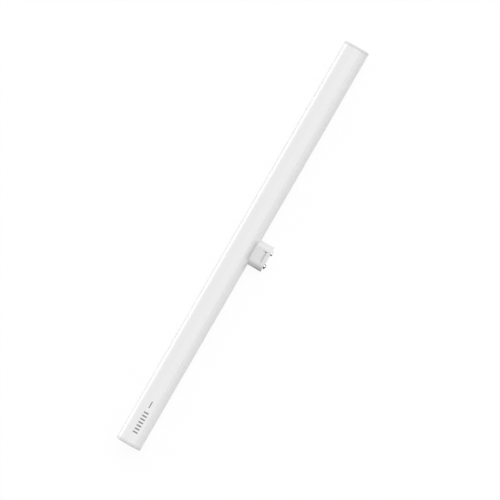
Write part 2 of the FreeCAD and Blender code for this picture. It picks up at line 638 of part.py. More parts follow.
def chip_parts():
    """Small flat resistors and capacitors along the edges of the driver board."""
    half = CHIP_PART_LENGTH / 2
    width = CHIP_PART_WIDTH / 2
    edge = BOARD_HALF - BOARD_EDGE_GAP - width
    places = [(middle, side * edge) for middle in (OUTPUT_MIDDLES[0], OUTPUT_MIDDLES[2]) for side in (-1, 1)]
    places += [(x, edge) for x in (-MAINS_LEAD_X, 0.0, MAINS_LEAD_X)]
    top = BOARD_TOP + CHIP_PART_HEIGHT
    return Part.makeCompound([block(x - half, x + half, BOARD_TOP, top, z - width, z + width)
                              for x, z in places])


# LED tray, board and packages

def led_stations():
    """Middles of the LED packages along the tube."""
    count = int((2 * LED_BOARD_END - LED_LENGTH) // LED_PITCH) + 1
    return [(index - (count - 1) / 2) * LED_PITCH for index in range(count)]


def screw_stations():
    """Places of the LED board's screws, each midway between two packages."""
    leds = led_stations()
    gaps = [(a + b) / 2 for a, b in zip(leds, leds[1:])]
    last = LED_BOARD_END - SCREW_END_MARGIN
    wanted = [last * (2 * index / (SCREW_COUNT - 1) - 1) for index in range(SCREW_COUNT)]
    return [min(gaps, key=lambda gap: abs(gap - place)) for place in wanted]


def lead_slot(level0, level1):
    """Slot that lets both LED leads up through the tray and the board."""
    half = LED_LEAD_SPACING / 2 + LEAD_DIAMETER / 2 + SLOT_MARGIN
    crossing = [led_lead_route_x(level) for level in (TRAY_BOTTOM, LED_BOARD_TOP)]
    reach = LEAD_DIAMETER + SLOT_MARGIN
    return block(crossing[0] - reach, crossing[1] + reach, level0, level1, LED_LEAD_ACROSS - half,
                 LED_LEAD_ACROSS + half)


def led_tray():
    """Aluminium strip between the shell's ribs."""
    half = LEG_INNER - TRAY_EDGE_PLAY
    tray = block(-TRAY_END, TRAY_END, TRAY_BOTTOM, TRAY_TOP, -half, half)
    holes = [post(SCREW_HOLE / 2, TRAY_BOTTOM, TRAY_TOP, x, SCREW_ACROSS) for x in screw_stations()]
    return tray.cut(holes + [lead_slot(TRAY_BOTTOM, TRAY_TOP)])


def thermal_tape():
    tape = block(-LED_BOARD_END, LED_BOARD_END, TRAY_TOP, TAPE_TOP, -TAPE_HALF, TAPE_HALF)
    holes = [post(SCREW_HOLE / 2, TRAY_TOP, TAPE_TOP, x, SCREW_ACROSS) for x in screw_stations()]
    return tape.cut(holes + [lead_slot(TRAY_TOP, TAPE_TOP)])


def led_board():
    board = block(-LED_BOARD_END, LED_BOARD_END, TAPE_TOP, LED_BOARD_TOP, -LED_BOARD_HALF, LED_BOARD_HALF)
    holes = [post(SCREW_HOLE / 2, TAPE_TOP, LED_BOARD_TOP, x, SCREW_ACROSS) for x in screw_stations()]
    return board.cut(holes + [lead_slot(TAPE_TOP, LED_BOARD_TOP)])


def led_packages():
    """Row of LED packages, each with a shallow round window in its top."""
    top = LED_BOARD_TOP + LED_HEIGHT
    length = LED_LENGTH / 2
    width = LED_WIDTH / 2
    packages = []
    for x in led_stations():
        package = block(x - length, x + length, LED_BOARD_TOP, top, -width, width)
        packages.append(package.cut(post(LED_LENS_DIAMETER / 2, top - LED_LENS_DEPTH, top, x)))
    return Part.makeCompound(packages)


def board_screws():
    """Screws that hold the LED board and tray together."""
    screws = []
    for x in screw_stations():
        shank = post(SCREW_DIAMETER / 2, TRAY_BOTTOM, LED_BOARD_TOP, x, SCREW_ACROSS)
        crown = LED_BOARD_TOP + SCREW_HEAD_HEIGHT
        head = post(SCREW_HEAD_DIAMETER / 2, LED_BOARD_TOP, crown, x, SCREW_ACROSS)
        rim = edges_where(head, lambda at, edge: abs(at.y - crown) < 1e-6)
        screws.append(joined([shank, head.makeFillet(SCREW_HEAD_HEIGHT / 2, rim)]))
    return Part.makeCompound(screws)


# Insulated leads, each along straight runs joined by tangent arcs

def smooth_path(points):
    """Wire along the points with an arc at each bend, and the radii of those arcs."""
    edges = []
    radii = []
    start = points[0]
    for before, corner, after in zip(points, points[1:], points[2:]):
        arriving = corner - before
        leaving = after - corner
        turn = arriving.getAngle(leaving)
        trim = BEND_SHARE * min(arriving.Length, leaving.Length)
        radius = trim / math.tan(turn / 2)
        radii.append(radius)
        enter = corner - arriving.normalize() * trim
        leave = corner + leaving.normalize() * trim
        bisector = (enter + leave) * 0.5 - corner
        centre_distance = math.hypot(radius, trim)
        middle = corner + bisector.normalize() * (centre_distance - radius)
        edges.append(Part.makeLine(start, enter))
        edges.append(Part.Arc(enter, middle, leave).toShape())
        start = leave
    edges.append(Part.makeLine(start, points[-1]))
    return Part.Wire(edges), radii


def insulated_lead(name, points, bare_ends):
    """Insulated lead along the points; bare_ends are the core's far points beyond the first and the last."""
    wire, radii = smooth_path(points)
    direction = (points[1] - points[0]).normalize()
    section = Part.Wire(Part.makeCircle(LEAD_DIAMETER / 2, points[0], direction))
    lead = wire.makePipeShell([section], True, False)
    expected = math.pi * LEAD_DIAMETER ** 2 / 4 * wire.Length
    share = lead.Volume / expected
    print(f"{name}: length {wire.Length:.1f}, volume over section times length {share:.4f}, radii",
          [round(radius, 1) for radius in radii])
    cores = []
    for end, far in zip((points[0], points[-1]), bare_ends):
        if far is not None:
            step = far - end
            cores.append(Part.makeCylinder(LEAD_CORE / 2, step.Length, end, step))
    return joined([lead] + cores) if cores else lead


def mains_lead(name, side):
    """Lead from a solder tag's tail up through the peg and the carrier to the driver board."""
    x = TAIL_FACE_X - LEAD_DIAMETER / 2 - FACE_CLEARANCE
    rise = BOARD_BOTTOM - TAIL_TOP
    points = [Vector(side * x, TAIL_TOP - TAG_TAIL_HEIGHT / 2, 0),
              Vector(side * x, TAIL_TOP + rise / 4, 0),
              Vector(side * MAINS_LEAD_X, BOARD_BOTTOM - rise / 3, 0),
              Vector(side * MAINS_LEAD_X, BOARD_BOTTOM, 0)]
    far = Vector(side * MAINS_LEAD_X, BOARD_TOP + LEAD_CORE, 0)
    return insulated_lead(name, points, (None, far))


def led_lead_corners():
    """Corners (x, y) of the LED leads' route: off the driver board, up the slot and onto the LED board."""
    start = BOARD_END - LED_LEAD_LANDING
    bend = start + LED_LEAD_RUN
    below = (bend + LED_LEAD_RUN, TRAY_BOTTOM - 2 * LEAD_DIAMETER)
    above = (below[0] + LED_LEAD_RUN / 2, LED_BOARD_TOP + 1.2 * LEAD_DIAMETER)
    crest = (above[0] + LED_LEAD_RUN, LED_LEAD_REST + 1.5 * LEAD_DIAMETER)
    landing = (crest[0] + LED_LEAD_RUN, LED_LEAD_REST)
    end = (landing[0] + LED_LEAD_RUN, LED_LEAD_REST)
    return [(start, LED_LEAD_LIE), (bend, LED_LEAD_LIE), below, above, crest, landing, end]


def led_lead_route_x(level):
    """Where the rising run of the LED leads crosses a level."""
    below, above = led_lead_corners()[2:4]
    share = (level - below[1]) / (above[1] - below[1])
    return below[0] + share * (above[0] - below[0])


def led_lead(name, side):
    across = LED_LEAD_ACROSS + side * LED_LEAD_SPACING / 2
    points = [Vector(x, y, across) for x, y in led_lead_corners()]
    return insulated_lead(name, points, (None, None))


# The whole lamp, set down as it lies

def rest_tilt():
    """Angle by which the peg points below the horizontal when the lamp lies down."""
    along = PEG_REACH - PEG_EDGE_ROUND
    aside = PEG_WIDTH / 2 - PEG_EDGE_ROUND
    return math.asin((TUBE_RADIUS - PEG_EDGE_ROUND) / math.hypot(along, aside)) - math.atan2(aside, along)


def set_down(shape):
    """Turns and moves a piece so that the lamp rests on Z = 0, centred over the origin."""
    tilt = rest_tilt()
    pin_reach = DOME_CENTRE * math.cos(tilt) + DOME_RADIUS
    placed = shape.copy()
    placed.rotate(Vector(0, 0, 0), Vector(1, 0, 0), math.degrees(tilt))
    placed.translate(Vector(0, (pin_reach - TUBE_RADIUS) / 2, TUBE_RADIUS))
    return placed


def pieces():
    """Every piece by its node's name, in the lamp's own frame."""
    return {
        "diffuser": diffuser(),
        "back_shell": back_shell(),
        "end_cap_left": end_cap(-1),
        "end_cap_right": end_cap(1),
        "peg_body": peg_body(),
        "contact_pin_left": contact_pin(-1),
        "contact_pin_right": contact_pin(1),
        "solder_tag_left": solder_tag(-1),
        "solder_tag_right": solder_tag(1),
        "driver_carrier": driver_carrier(),
        "insulating_film": insulating_film(),
        "driver_board": driver_board(),
        "fuse_resistor": fuse_resistor(-INPUT_MIDDLES[0]),
        "varistor": varistor(-INPUT_MIDDLES[0]),
        "film_capacitor": film_capacitor(-INPUT_MIDDLES[1]),
        "bridge_rectifier": bridge_rectifier(-INPUT_MIDDLES[2]),
        "filter_choke": filter_choke(-INPUT_MIDDLES[3]),
        "bulk_capacitor": lying_can(-INPUT_MIDDLES[4], -1),
        "control_chip": control_chip(OUTPUT_MIDDLES[0]),
        "transformer_core": transformer_core(OUTPUT_MIDDLES[1]),
        "transformer_winding": transformer_winding(OUTPUT_MIDDLES[1]),
        "output_diode": output_diode(OUTPUT_MIDDLES[2]),
        "output_capacitor": lying_can(OUTPUT_MIDDLES[3], 1),
        "chip_parts": chip_parts(),
        "led_tray": led_tray(),
        "thermal_tape": thermal_tape(),
        "led_board": led_board(),
        "led_packages": led_packages(),
        "board_screws": board_screws(),
        "live_lead": mains_lead("live_lead", -1),
        "neutral_lead": mains_lead("neutral_lead", 1),
        "led_lead_plus": led_lead("led_lead_plus", 1),
        "led_lead_minus": led_lead("led_lead_minus", -1),
    }


def main():
    os.makedirs("parts", exist_ok=True)
    for name, shape in pieces().items():
        set_down(shape).exportStep(f"parts/{name}.step")


main()
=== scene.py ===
"""Looks of a straight tubular lamp that plugs in by a peg at mid-length, lying on a pale floor.

The solids come from the frame and stay as they are. This script gives each of them its finish, and adds
the small things that they leave out: phosphor, solder and tinned ends. It also sets the camera, the floor
and the lamps. Lengths are in metres in the frame's axes, X along the tube and Z up, unless a comment says
millimetres.
"""

import json
import math

import bmesh
import bpy
from mathutils import Matrix, Vector


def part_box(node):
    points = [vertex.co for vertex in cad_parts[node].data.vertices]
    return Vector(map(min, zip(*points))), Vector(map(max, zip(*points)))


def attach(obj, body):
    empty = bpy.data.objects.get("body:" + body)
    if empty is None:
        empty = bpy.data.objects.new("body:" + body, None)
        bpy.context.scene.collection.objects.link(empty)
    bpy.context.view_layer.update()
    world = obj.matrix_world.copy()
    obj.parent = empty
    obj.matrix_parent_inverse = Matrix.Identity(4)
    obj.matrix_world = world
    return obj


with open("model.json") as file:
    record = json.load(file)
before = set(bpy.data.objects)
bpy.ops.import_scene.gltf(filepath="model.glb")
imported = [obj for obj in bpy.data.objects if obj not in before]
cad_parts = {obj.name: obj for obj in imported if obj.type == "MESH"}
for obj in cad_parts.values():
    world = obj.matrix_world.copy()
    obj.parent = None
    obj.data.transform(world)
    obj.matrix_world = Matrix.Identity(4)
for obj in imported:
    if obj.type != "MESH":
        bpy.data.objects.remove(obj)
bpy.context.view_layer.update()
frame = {"nodes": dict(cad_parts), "record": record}

# The lamp's own directions: ALONG the tube, OUT towards the peg's end, and FACE up to the camera
MM = 0.001
cap_low, cap_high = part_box("end_cap_left")
peg_axis = next(mount["axis"] for mount in frame["record"]["mounts"] if mount["name"] == "peg")
AXIS = Vector((0, (cap_low.y + cap_high.y) / 2, (cap_low.z + cap_high.z) / 2))
ALONG = Vector((1, 0, 0))
OUT = Vector(peg_axis).normalized()
FACE = ALONG.cross(-OUT)
FACING = -OUT                      # the side that the LEDs and both boards face

# Camera, with the photograph's framing
ROLL = math.radians(60)            # from the picture's horizontal to the tube
FRAME_WIDTH = 0.5451               # what the picture spans at the tube
AIM_RIGHT = 0.0079                 # from the tube's middle to the picture's centre
AIM_UP = -0.00474
LENS = 400.0                       # in millimetres, on a sensor of SENSOR
SENSOR = 36.0
CLIP_NEAR = 0.1
CLIP_FAR = 200.0

# Light. A level of 1 on a surface shows its colour as it is written
SKY_LEVEL = 0.87                   # square to the tube
SKY_LEAN = 1.0                     # how much the sky brightens towards the tube's far end
SKY_MOST = 1.15
KEY_LEVEL = 0.21
KEY_SPREAD = math.radians(40)
KEY_LEAN_ALONG = 0.50              # of the key's direction, against 1 towards the camera
KEY_LEAN_OUT = -0.10
STRIP_LEVEL = 2.7
STRIP_DISTANCE = 0.070             # from the tube's axis, on the side away from the peg
STRIP_LENGTH = 0.9
STRIP_LOW = 0.001                  # its lower and upper edge, above the floor
STRIP_HIGH = 0.029
SIDE_LEVEL = 1.1                   # of the lamp on the side away from the peg
PEG_SIDE_LEVEL = 0.9               # and of the one on the peg's side
SIDE_DISTANCE = 1.0
SIDE_LENGTH = 3.0
SIDE_LOW = 0.01
SIDE_HIGH = 0.27
CARD_GAP = 0.012                   # from the nearer contact to the card's upright side
CARD_OUTER = 0.045                 # how far it reaches beyond the contacts, away from the tube
CARD_INNER = 0.010                 # and towards it
CARD_HEIGHT = 0.03                 # no higher than the tube, so that the tube's back doesn't mirror it
CARD_LIFT = 0.0005                 # of its other side, off the floor
CARD_GREY = 0.01
FLOOR_BOUNCE = 0.6                 # the share of the light that the floor throws back
FLOOR_WHITE_SHARE = 0.93           # the rest of the floor's look takes the shadow
FLOOR_SIZE = 60.0

# Sockets of the node that mixes colours
MIX_FACTOR = 0
MIX_FIRST = 6
MIX_SECOND = 7
MIX_RESULT = 2


class Value:
    """A number that varies over a surface. Arithmetic on it adds Math nodes to its finish."""

    def __init__(self, finish, socket):
        self.finish = finish
        self.socket = socket

    def math(self, operation, *operands):
        inputs = dict(enumerate(operands))
        return self.finish.value("ShaderNodeMath", {"operation": operation}, inputs)

    def __add__(self, other):
        return self.math("ADD", self, other)

    def __radd__(self, other):
        return self.math("ADD", other, self)

    def __sub__(self, other):
        return self.math("SUBTRACT", self, other)

    def __rsub__(self, other):
        return self.math("SUBTRACT", other, self)

    def __mul__(self, other):
        return self.math("MULTIPLY", self, other)

    def __rmul__(self, other):
        return self.math("MULTIPLY", other, self)

    def __gt__(self, other):
        return self.math("GREATER_THAN", self, other)

    def __lt__(self, other):
        return self.math("LESS_THAN", self, other)

    def __mod__(self, other):
        return self.math("FLOORED_MODULO", self, other)

    def __abs__(self):
        return self.math("ABSOLUTE", self)

    def root(self):
        return self.math("SQRT", self)

    def sine(self):
        return self.math("SINE", self)

    def larger(self, other):
        return self.math("MAXIMUM", self, other)

    def smaller(self, other):
        return self.math("MINIMUM", self, other)

    def within(self, low, high):
        """1 between low and high, else 0."""
        return (self > low) * (self < high)

    def step(self, low, high):
        """From 0 at low to 1 at high, smoothly."""
        inputs = {"Value": self, "From Min": low, "From Max": high}
        return self.finish.value("ShaderNodeMapRange", {"interpolation_type": "SMOOTHSTEP"}, inputs)


class Finish:
    """The node tree of one material or of the world."""

    def __init__(self, owner):
        owner.use_nodes = True
        self.owner = owner
        self.tree = owner.node_tree
        self.tree.nodes.clear()

    def add(self, kind, settings=None, inputs=None):
        """Any node: its type, its settings, set first, and then the values or links of its sockets."""
        node = self.tree.nodes.new(kind)
        for name, setting in (settings or {}).items():
            setattr(node, name, setting)
        for name, given in (inputs or {}).items():
            source = given.socket if isinstance(given, Value) else given
            if isinstance(source, bpy.types.NodeSocket):
                self.tree.links.new(source, node.inputs[name])
            else:
                node.inputs[name].default_value = source
        return node

    def value(self, kind, settings=None, inputs=None, output=0):
        """The number that one output of a new node gives."""
        return Value(self, self.add(kind, settings, inputs).outputs[output])

    def reach(self, place, direction):
        """How far a place, as a vector socket, lies in a direction."""
        inputs = {0: place, 1: tuple(direction)}
        return self.value("ShaderNodeVectorMath", {"operation": "DOT_PRODUCT"}, inputs, "Value")

    def place(self):
        """Where a point of the surface is, in millimetres, as a vector socket."""
        coordinates = self.add("ShaderNodeTexCoord").outputs["Object"]
        inputs = {0: coordinates, "Scale": 1 / MM}
        return self.add("ShaderNodeVectorMath", {"operation": "SCALE"}, inputs).outputs[0]

    def towards(self, direction):
        """How far a point lies from the tube's axis and its middle in a direction, in millimetres."""
        offset = -AXIS.dot(direction) / MM
        return self.reach(self.place(), direction) + offset

    def stretched(self, along, across):
        """The place with its own scale along the tube and across it."""
        inputs = {0: self.place(), 1: (along, across, across)}
        return self.add("ShaderNodeVectorMath", {"operation": "MULTIPLY"}, inputs).outputs[0]

    def noise(self, size, detail=2.0, stretch=1.0):
        """Noise from 0 to 1 with features of that size in millimetres, stretched along the tube."""
        inputs = {"Vector": self.stretched(1 / size / stretch, 1 / size), "Scale": 1.0, "Detail": detail}
        return self.value("ShaderNodeTexNoise", {}, inputs)

    def cells(self, size):
        """Grains of that size in millimetres: 0 at the middle of each, and more towards its edge."""
        inputs = {"Vector": self.stretched(1 / size, 1 / size), "Scale": 1.0}
        return self.value("ShaderNodeTexVoronoi", {}, inputs, "Distance")

    def mix(self, factor, first, second):
        """Colour between two colours."""
        inputs = {MIX_FACTOR: factor, MIX_FIRST: rgba(first), MIX_SECOND: rgba(second)}
        return self.add("ShaderNodeMix", {"data_type": "RGBA"}, inputs).outputs[MIX_RESULT]

    def bump(self, height, depth, under=None):
        """Relief from a height of 0 to 1 that stands that many millimetres, on another relief or on none."""
        inputs = {"Height": height, "Distance": depth * MM, "Strength": 1.0}
        if under is not None:
            inputs["Normal"] = under
        return self.add("ShaderNodeBump", {}, inputs).outputs[0]

    def surface(self, constants, **varying):
        """The shader, with constants on its own sockets and what varies linked."""
        names = {"colour": "Base Color", "roughness": "Roughness", "metallic": "Metallic",
                 "coat": "Coat Weight", "normal": "Normal"}
        inputs = dict(constants)
        inputs.update({names[name]: given for name, given in varying.items()})
        return self.output(self.add("ShaderNodeBsdfPrincipled", {}, inputs).outputs[0])

    def diffuse(self, grey):
        return self.add("ShaderNodeBsdfDiffuse", {}, {"Color": rgba(grey)}).outputs[0]

    def blend(self, factor, first, second):
        """Shader between two shaders."""
        return self.add("ShaderNodeMixShader", {}, {0: factor, 1: first, 2: second}).outputs[0]

    def output(self, shader):
        """Ends a material's tree in a shader, and gives the material."""
        self.add("ShaderNodeOutputMaterial", {}, {"Surface": shader})
        return self.owner


def rgba(colour):
    """A grey, a colour of three numbers or a colour socket, as a socket takes it."""
    if isinstance(colour, (int, float)):
        return (colour, colour, colour, 1.0)
    if isinstance(colour, tuple):
        return (*colour, 1.0)
    return colour


def new_finish(name):
    return Finish(bpy.data.materials.new(name))


def shaded(colour, share):
    """A colour made lighter or darker by a share."""
    return tuple(channel * share for channel in colour)


# A plain printed scale near the lower end. Sizes are in millimetres
PRINT_GREY = 0.24
SCALE_START = -235.0               # along the tube, from its middle
SCALE_PITCH = 4.0
SCALE_COUNT = 7
SCALE_BAR = 1.7
SCALE_LOW = -2.6                   # across it, on the side that faces the camera
SCALE_HIGH = 3.0
RULE_START = -204.0
RULE_END = -196.0
RULE_LOW = -0.7
RULE_HIGH = 0.5


def printed_scale(finish):
    """1 on the print: a row of plain bars and a short rule beyond them."""
    along = finish.towards(ALONG)
    across = finish.towards(OUT)
    front = finish.towards(FACE) > 0
    end = SCALE_START + SCALE_PITCH * (SCALE_COUNT - 1) + SCALE_BAR
    row = along.within(SCALE_START, end) * across.within(SCALE_LOW, SCALE_HIGH)
    bars = ((along - SCALE_START) % SCALE_PITCH) < SCALE_BAR
    rule = along.within(RULE_START, RULE_END) * across.within(RULE_LOW, RULE_HIGH)
    return front * (row * bars).larger(rule)


# Painted shade in the corner along the peg's flat sides, where the peg shades the shell. Sizes are in
# millimetres
PEG_SHADE_GREY = 0.30
PEG_SHADE_SHARE = 0.42
PEG_SHADE_NEAR = 8.5                    # from the tube's middle plane: all of it up to here
PEG_SHADE_FAR = 14.0                    # and none from here
PEG_SHADE_END_NEAR = 8.5                # the same along the tube, from the peg's middle
PEG_SHADE_END_FAR = 14.0


def painted_peg_shade(finish):
    """The share of painted shade: most where the peg's flat sides leave the shell, and none a little way
    off.
    """
    off_flat = abs(finish.towards(FACE)).step(PEG_SHADE_NEAR, PEG_SHADE_FAR)
    off_end = abs(finish.towards(ALONG)).step(PEG_SHADE_END_NEAR, PEG_SHADE_END_FAR)
    peg_side = finish.towards(OUT) > 0
    return PEG_SHADE_SHARE * peg_side * (1 - off_flat) * (1 - off_end)


# Finishes of the casing. Sizes of grain and relief are in millimetres, here and in all finishes
CLOUDED = 0.015                    # how far white plastic varies from its grey, as a share of it


def extruded_plastic(name, grey, roughness, mark, mark_grey):
    """Plastic drawn through a die: lines along the tube, a faint cloudiness, and a mark of another grey."""
    finish = new_finish(name)
    lines = finish.noise(size=0.5, detail=3.0, stretch=90.0)
    clouds = finish.noise(size=14.0, stretch=3.0)
    grain = finish.noise(size=0.12, detail=1.0)
    tone = 0.6 * lines + 0.4 * clouds
    plain = finish.mix(tone, grey * (1 - CLOUDED), grey * (1 + CLOUDED))
    relief = finish.bump(grain, depth=0.004, under=finish.bump(lines, depth=0.006))
    return finish.surface({"IOR": 1.5, "Coat Roughness": 0.1, "Coat IOR": 1.5},
                          colour=finish.mix(mark(finish), plain, mark_grey), normal=relief,
                          roughness=roughness - 0.05 + 0.1 * tone, coat=0.25 + 0.1 * clouds)


def diffuser_finish():
    return extruded_plastic("opal_diffuser", grey=0.83, roughness=0.30,
                            mark=printed_scale, mark_grey=PRINT_GREY)


def shell_finish():
    # The shell's mark is painted shade along the peg's flat sides, not a real stain
    return extruded_plastic("white_shell", grey=0.765, roughness=0.36,
                            mark=painted_peg_shade, mark_grey=PEG_SHADE_GREY)


def moulded_plastic(name, grey, roughness):
    """Injection-moulded plastic with a fine spark-eroded grain."""
    finish = new_finish(name)
    grain = finish.noise(size=0.22)
    clouds = finish.noise(size=9.0)
    colour = finish.mix(clouds, grey * (1 - CLOUDED), grey * (1 + CLOUDED))
    return finish.surface({"IOR": 1.5}, colour=colour, roughness=roughness - 0.04 + 0.08 * clouds,
                          normal=finish.bump(grain, depth=0.006))


def cap_finish():
    return moulded_plastic("white_cap", grey=0.70, roughness=0.38)


def peg_finish():
    return moulded_plastic("white_peg", grey=0.71, roughness=0.36)


def carrier_finish():
    return moulded_plastic("white_carrier", grey=0.78, roughness=0.45)


# Finishes of the metal parts
RING_RATE = 40.0                   # of the turning rings, in radians for each millimetre


def contact_finish():
    """Plated metal with fine turning rings round its own axis, which points out of the peg."""
    plating = (0.66, 0.65, 0.63)
    finish = new_finish("nickel_contact")
    rings = (finish.towards(OUT) * RING_RATE).sine() * 0.5 + 0.5
    dull = finish.noise(size=0.8)
    tint = finish.mix(dull, shaded(plating, 0.94), shaded(plating, 1.04))
    return finish.surface({"Metallic": 1.0}, colour=tint, roughness=0.08 + 0.08 * dull,
                          normal=finish.bump(rings, depth=0.002))


def sheet_metal(name, colour, roughness, stretch):
    """Rolled or plated metal with a faint grain, as much longer along the tube as stretch says."""
    finish = new_finish(name)
    lines = finish.noise(size=0.25, detail=3.0, stretch=stretch)
    stains = finish.noise(size=6.0)
    tint = finish.mix(stains, shaded(colour, 0.93), shaded(colour, 1.04))
    return finish.surface({"Metallic": 1.0}, colour=tint, roughness=roughness + 0.14 * lines,
                          normal=finish.bump(lines, depth=0.003))


def tag_finish():
    return sheet_metal("tinned_tag", (0.74, 0.72, 0.68), roughness=0.30, stretch=1.0)


def tray_finish():
    return sheet_metal("mill_aluminium", (0.80, 0.80, 0.81), roughness=0.30, stretch=60.0)


def screw_finish():
    return sheet_metal("zinc_screw", (0.62, 0.63, 0.66), roughness=0.24, stretch=1.0)


def solder_finish():
    """Solder or tin, bright with a faint frost."""
    finish = new_finish("solder")
    frost = finish.noise(size=0.25, detail=3.0)
    colour = finish.mix(frost, (0.66, 0.66, 0.67), (0.78, 0.78, 0.79))
    return finish.surface({"Metallic": 1.0}, colour=colour, roughness=0.2 + 0.2 * frost,
                          normal=finish.bump(frost, depth=0.008))


# Finishes of the boards, the film and the tape. Sizes are in millimetres
TRACK_PITCH = 2.0
TRACK_HALF_WIDTH = 0.32
TRACK_ABOVE = 0.45                 # tracks run where a coarse noise is above this
PAD_RADIUS = 0.55
PAD_ABOVE = 0.62                   # and pads are bare where another is above this
MAIN_PAD_PITCH = 2.54              # of the driver board's pads
LED_PAD_PITCH = 3.9
WEAVE_RATE = 8.0                   # of the tape's carrier, in radians for each millimetre


def board_finish(name, mask, metal, pad_pitch):
    """Circuit board: coated tracks that show as relief, bare pads in rows, and a fine speckle."""
    finish = new_finish(name)
    along = finish.towards(ALONG)
    across = finish.towards(FACE)
    off_track = abs((across % TRACK_PITCH) - TRACK_PITCH / 2)
    tracks = (off_track < TRACK_HALF_WIDTH) * (finish.noise(size=9.0, detail=0.0) > TRACK_ABOVE)
    pad_along = (along % pad_pitch) - pad_pitch / 2
    pad_across = (across % pad_pitch) - pad_pitch / 2
    off_pad = (pad_along * pad_along + pad_across * pad_across).root()
    pads = (off_pad < PAD_RADIUS) * (finish.noise(size=7.0, detail=0.0) > PAD_ABOVE)
    coated = finish.mix(tracks, mask, shaded(mask, 1.45))
    speckled = finish.mix(finish.noise(size=0.4), coated, mask)
    return finish.surface({"IOR": 1.5}, colour=finish.mix(pads, speckled, metal), metallic=pads * 0.9,
                          roughness=0.32 + 0.1 * finish.noise(size=3.0),
                          normal=finish.bump(tracks.larger(pads), depth=0.03))


def driver_board_finish():
    return board_finish("green_board", (0.035, 0.17, 0.07), (0.72, 0.70, 0.66), MAIN_PAD_PITCH)


def led_board_finish():
    return board_finish("white_board", (0.78, 0.79, 0.78), (0.80, 0.79, 0.76), LED_PAD_PITCH)


def film_finish():
    """Thin milky insulating sheet."""
    finish = new_finish("insulating_film")
    clouds = finish.noise(size=5.0, stretch=4.0)
    colour = finish.mix(clouds, (0.84, 0.84, 0.78), (0.88, 0.88, 0.83))
    return finish.surface({"IOR": 1.6}, colour=colour, roughness=0.22 + 0.1 * clouds,
                          normal=finish.bump(finish.noise(size=2.5), depth=0.01))


def tape_finish():
    """Grey thermal adhesive tape with a woven carrier."""
    finish = new_finish("thermal_tape")
    warp = (finish.towards(ALONG) * WEAVE_RATE).sine()
    weft = (finish.towards(FACE) * WEAVE_RATE).sine()
    weave = warp * weft * 0.5 + 0.5
    colour = finish.mix(weave, (0.58, 0.61, 0.63), (0.68, 0.71, 0.73))
    return finish.surface({"IOR": 1.45}, colour=colour, roughness=0.5 + 0.1 * weave,
                          normal=finish.bump(weave, depth=0.01))


# Finishes of the electronic parts. Sizes are in millimetres
FUSE_BLACK_BANDS = ((-2.6, -2.0), (1.4, 2.0))      # along the fuse, from its middle
FUSE_BROWN_BAND = (-0.9, -0.3)
FUSE_BODY_END = 4.05               # its bare leads start here
LEGS_START = 1.96                  # from the tube's middle plane, on both sides of a black body
STRIPE_START = 2.2                 # from the same plane, on a capacitor's side
DASH_PITCH = 3.0
DASH_START = 1.5
LAYER_RATE = 9.0                   # of the winding's tape, in radians for each millimetre


def fuse_finish():
    """Lacquered resistor with plain colour bands round it."""
    finish = new_finish("lacquered_fuse")
    low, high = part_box("fuse_resistor")
    along = finish.towards(ALONG) - (low.x + high.x) / 2 / MM
    first_black, second_black = (along.within(*band) for band in FUSE_BLACK_BANDS)
    bare = abs(along) > FUSE_BODY_END
    flow = finish.noise(size=0.9)
    colour = finish.mix(flow, (0.16, 0.28, 0.40), (0.20, 0.34, 0.48))
    colour = finish.mix(first_black.larger(second_black), colour, (0.02, 0.02, 0.02))
    colour = finish.mix(along.within(*FUSE_BROWN_BAND), colour, (0.42, 0.20, 0.03))
    colour = finish.mix(bare, colour, (0.74, 0.72, 0.70))
    return finish.surface({"IOR": 1.5}, colour=colour, roughness=0.30 + 0.1 * flow, metallic=bare,
                          normal=finish.bump(flow, depth=0.01))


def coated_finish(name, colour, roughness, lumps, coat=0.0):
    """Dipped or lacquered coating, with lumps of that depth."""
    finish = new_finish(name)
    flow = finish.noise(size=1.4, detail=3.0)
    tint = finish.mix(flow, shaded(colour, 0.88), shaded(colour, 1.1))
    return finish.surface({"IOR": 1.52, "Coat Roughness": 0.15}, colour=tint, coat=coat + 0.05 * flow,
                          roughness=roughness + 0.12 * flow, normal=finish.bump(flow, depth=lumps))


def varistor_finish():
    return coated_finish("blue_varistor", (0.03, 0.10, 0.32), roughness=0.34, lumps=0.04)


def film_capacitor_finish():
    return coated_finish("amber_capacitor", (0.42, 0.27, 0.04), roughness=0.28, lumps=0.004, coat=0.2)


def choke_finish():
    return coated_finish("shrunk_sleeve", (0.03, 0.03, 0.032), roughness=0.45, lumps=0.03)


def semiconductor_finish():
    """Black moulding compound, with tinned legs on both sides."""
    finish = new_finish("black_moulding")
    legs = abs(finish.towards(FACE)) > LEGS_START
    grain = finish.noise(size=0.12, detail=1.0)
    body = finish.mix(grain, (0.016, 0.016, 0.017), (0.030, 0.030, 0.031))
    return finish.surface({"IOR": 1.55}, colour=finish.mix(legs, body, (0.70, 0.69, 0.67)), metallic=legs,
                          roughness=0.5 - 0.15 * legs, normal=finish.bump(grain, depth=0.006))


def electrolytic_finish():
    """Dark sleeve with a pale dashed stripe down one side."""
    finish = new_finish("sleeved_can")
    stripe = finish.towards(FACE) > STRIPE_START
    dashes = (finish.towards(ALONG) % DASH_PITCH) > DASH_START
    flow = finish.noise(size=2.0)
    colour = finish.mix(flow, (0.022, 0.028, 0.05), (0.03, 0.036, 0.062))
    colour = finish.mix(stripe, colour, (0.42, 0.43, 0.45))
    colour = finish.mix(stripe * dashes * 0.6, colour, (0.06, 0.07, 0.10))
    return finish.surface({"IOR": 1.5}, colour=colour, roughness=0.3 + 0.1 * flow,
                          normal=finish.bump(flow, depth=0.006))


def ferrite_finish():
    """Sintered ferrite, dark grey and faintly pitted."""
    finish = new_finish("ferrite")
    pits = finish.cells(size=0.35)
    colour = finish.mix(pits, (0.045, 0.045, 0.05), (0.085, 0.085, 0.09))
    return finish.surface({"IOR": 1.8}, colour=colour, roughness=0.5 + 0.15 * pits,
                          normal=finish.bump(pits, depth=0.012))


